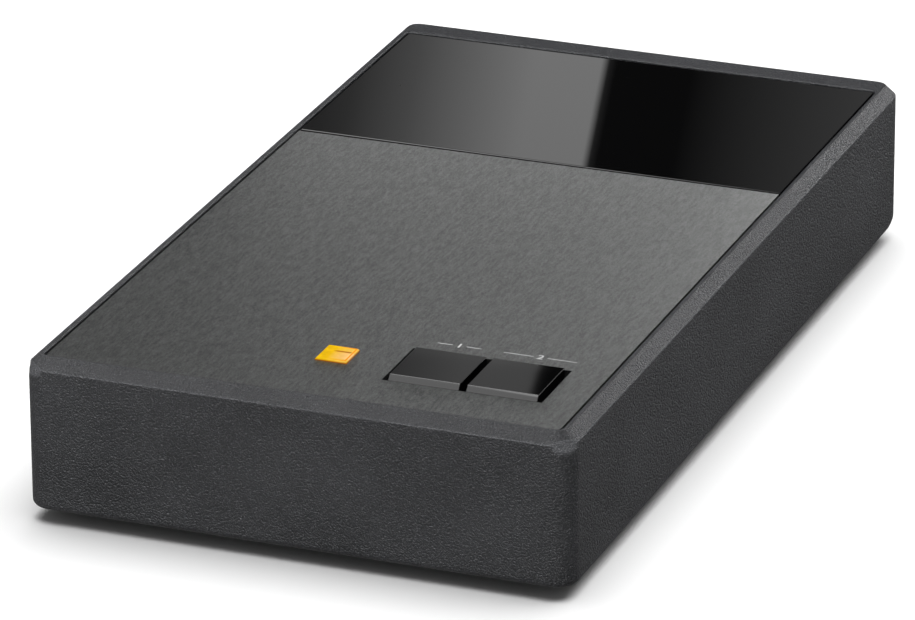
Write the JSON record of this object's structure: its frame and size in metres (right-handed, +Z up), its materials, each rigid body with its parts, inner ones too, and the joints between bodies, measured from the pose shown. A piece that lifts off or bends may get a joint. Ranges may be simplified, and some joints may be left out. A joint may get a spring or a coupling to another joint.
{
  "type": "phono preamp",
  "caption": "Flat desktop phono preamp: chamfered case, brushed and gloss inlays on top, two push buttons, an amber lamp, and sockets at the rear.",
  "frame": {"origin": "on the table, under the middle of the whole part with its rear sockets", "axes": "+X to the right, +Y to the rear, where the sockets are, +Z up"},
  "size_m": [0.102, 0.1934, 0.0318],
  "materials": {
    "case_paint": "fine textured dark grey paint, slight metallic fleck",
    "brushed_plate": "dark grey anodised, brushed front to back",
    "gloss_black": "polished black",
    "base_paint": "black satin paint",
    "rear_paint": "black satin paint",
    "screw_black": "black oxide",
    "foot_rubber": "matt black",
    "black_plastic": "moulded black",
    "socket_plating": "gold plated",
    "socket_insulator_red": "moulded red",
    "socket_insulator_white": "moulded white",
    "steel": "bright zinc",
    "white_plastic": "moulded white",
    "lamp_amber": "clear amber, lit",
    "board_green": "solder mask",
    "setting_switch": "moulded blue",
    "can_sleeve": "shrink sleeve",
    "film_red": "coated",
    "chip_black": "moulded epoxy"
  },
  "bodies": {
    "case": {"amplifier_chips": "chip_black", "base_cover": "base_paint", "base_screws": "screw_black", "button_guide": "black_plastic", "capacitor_cans": "can_sleeve", "circuit_board": "board_green", "dc_inlet": "black_plastic", "dc_inlet_pin": "socket_plating", "film_capacitors": "film_red", "filter_spring": "steel", "filter_switch": "black_plastic", "foot_front_left": "foot_rubber", "foot_front_right": "foot_rubber", "foot_rear_left": "foot_rubber", "foot_rear_right": "foot_rubber", "gain_switch_block": "setting_switch", "gloss_panel": "gloss_black", "ground_lock_nut": "steel", "ground_lug": "steel", "ground_stud": "socket_plating", "housing": "case_paint", "input_left_barrel": "socket_plating", "input_left_contact": "socket_plating", "input_left_insulator": "socket_insulator_white", "input_right_barrel": "socket_plating", "input_right_contact": "socket_plating", "input_right_insulator": "socket_insulator_red", "input_socket_block": "black_plastic", "lamp_led": "lamp_amber", "lamp_lens": "lamp_amber", "lamp_shroud": "black_plastic", "load_switch_block": "setting_switch", "mono_spring": "steel", "mono_switch": "black_plastic", "output_left_barrel": "socket_plating", "output_left_contact": "socket_plating", "output_left_insulator": "socket_insulator_white", "output_right_barrel": "socket_plating", "output_right_contact": "socket_plating", "output_right_insulator": "socket_insulator_red", "output_socket_block": "black_plastic", "panel_screws": "screw_black", "rear_panel": "rear_paint", "top_plate": "brushed_plate", "voltage_regulators": "chip_black"},
    "mono_button": {"mono_button": "gloss_black", "mono_plunger": "white_plastic"},
    "filter_button": {"filter_button": "gloss_black", "filter_plunger": "white_plastic"},
    "ground_washer": {"ground_washer": "socket_plating"},
    "ground_nut": {"ground_thumb_nut": "socket_plating"},
    "gain_slider_1": {"gain_slider_1": "white_plastic"},
    "gain_slider_2": {"gain_slider_2": "white_plastic"},
    "gain_slider_3": {"gain_slider_3": "white_plastic"},
    "gain_slider_4": {"gain_slider_4": "white_plastic"},
    "load_slider_1": {"load_slider_1": "white_plastic"},
    "load_slider_2": {"load_slider_2": "white_plastic"},
    "load_slider_3": {"load_slider_3": "white_plastic"},
    "load_slider_4": {"load_slider_4": "white_plastic"}
  },
  "joints": [
    {"name": "mono_button_press", "type": "slide", "parent": "case", "child": "mono_button", "axis": [0, 0, -1], "range_m": [0, 0.0015], "stiffness_N_per_m": 200, "springref_m": -0.002, "deforming": ["mono_spring"]},
    {"name": "filter_button_press", "type": "slide", "parent": "case", "child": "filter_button", "axis": [0, 0, -1], "range_m": [0, 0.0015], "stiffness_N_per_m": 200, "springref_m": -0.002, "deforming": ["filter_spring"]},
    {"name": "gain_slider_1_slide", "type": "slide", "parent": "case", "child": "gain_slider_1", "axis": [0, 1, 0], "range_m": [0, 0.0014]},
    {"name": "gain_slider_2_slide", "type": "slide", "parent": "case", "child": "gain_slider_2", "axis": [0, 1, 0], "range_m": [0, 0.0014]},
    {"name": "gain_slider_3_slide", "type": "slide", "parent": "case", "child": "gain_slider_3", "axis": [0, 1, 0], "range_m": [0, 0.0014]},
    {"name": "gain_slider_4_slide", "type": "slide", "parent": "case", "child": "gain_slider_4", "axis": [0, 1, 0], "range_m": [0, 0.0014]},
    {"name": "load_slider_1_slide", "type": "slide", "parent": "case", "child": "load_slider_1", "axis": [0, 1, 0], "range_m": [0, 0.0014]},
    {"name": "load_slider_2_slide", "type": "slide", "parent": "case", "child": "load_slider_2", "axis": [0, 1, 0], "range_m": [0, 0.0014]},
    {"name": "load_slider_3_slide", "type": "slide", "parent": "case", "child": "load_slider_3", "axis": [0, 1, 0], "range_m": [0, 0.0014]},
    {"name": "load_slider_4_slide", "type": "slide", "parent": "case", "child": "load_slider_4", "axis": [0, 1, 0], "range_m": [0, 0.0014]},
    {"name": "ground_nut_travel", "type": "slide", "parent": "case", "child": "ground_washer", "axis": [0, 1, 0], "range_m": [0, 0.0021]},
    {"name": "ground_nut_turn", "type": "hinge", "parent": "ground_washer", "child": "ground_nut", "pos_m": [-0.03678, 0.08865, 0.0186], "axis": [0, 1, 0], "range_deg": [0, 1080]}
  ],
  "couplings": [
    {"joint": "ground_nut_turn", "follows": "ground_nut_travel", "rad_per_m": 8975.9}
  ]
}
